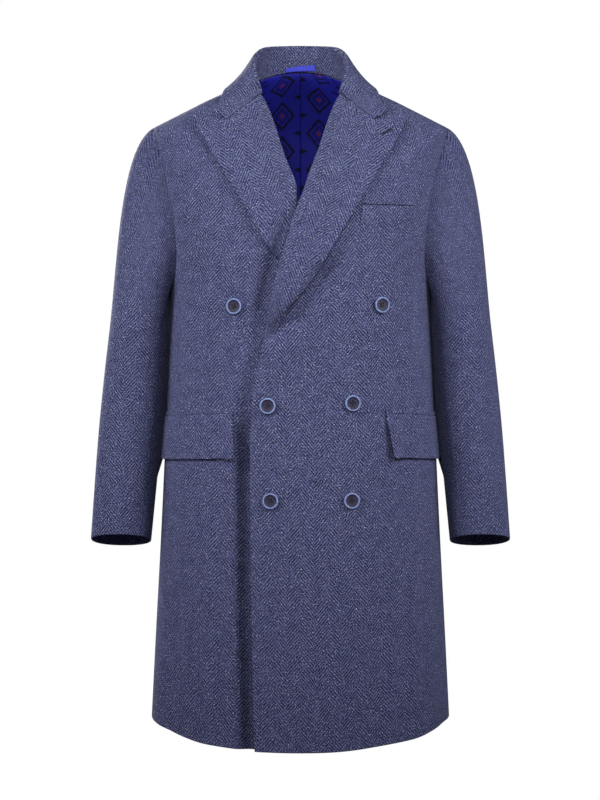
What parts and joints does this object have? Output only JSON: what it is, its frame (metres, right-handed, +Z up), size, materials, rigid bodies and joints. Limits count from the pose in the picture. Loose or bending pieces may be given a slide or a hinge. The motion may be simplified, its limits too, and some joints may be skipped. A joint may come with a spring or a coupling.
{
  "type": "overcoat",
  "caption": "Knee-length double-breasted wool overcoat with peak lapels, a turn-down collar, flap hip pockets and a breast welt, in its hollow worn form.",
  "frame": {"origin": "centre of the neck base, where the wearer's shoulders carry the coat", "axes": "+Z up along the wearer's body, +X towards the wearer's left, and the front faces -Y"},
  "size_m": [0.6606, 0.32, 1.0961],
  "materials": {
    "wool": "matt herringbone wool",
    "lining": "satin, printed",
    "loop": "satin",
    "horn": "polished"
  },
  "bodies": {
    "root": {"front_left": "wool", "front_right": "wool", "back_left": "wool", "back_right": "wool", "sleeve_left_top": "wool", "sleeve_left_under": "wool", "sleeve_right_top": "wool", "sleeve_right_under": "wool", "lapel_left": "wool", "lapel_right": "wool", "collar": "wool", "flap_left": "wool", "flap_right": "wool", "jet_left": "wool", "jet_right": "wool", "breast_welt": "wool", "lining_left": "lining", "lining_right": "lining", "hanger_loop": "loop", "button_1": "horn", "button_2": "horn", "button_3": "horn", "button_4": "horn", "button_5": "horn", "button_6": "horn"}
  },
  "joints": []
}
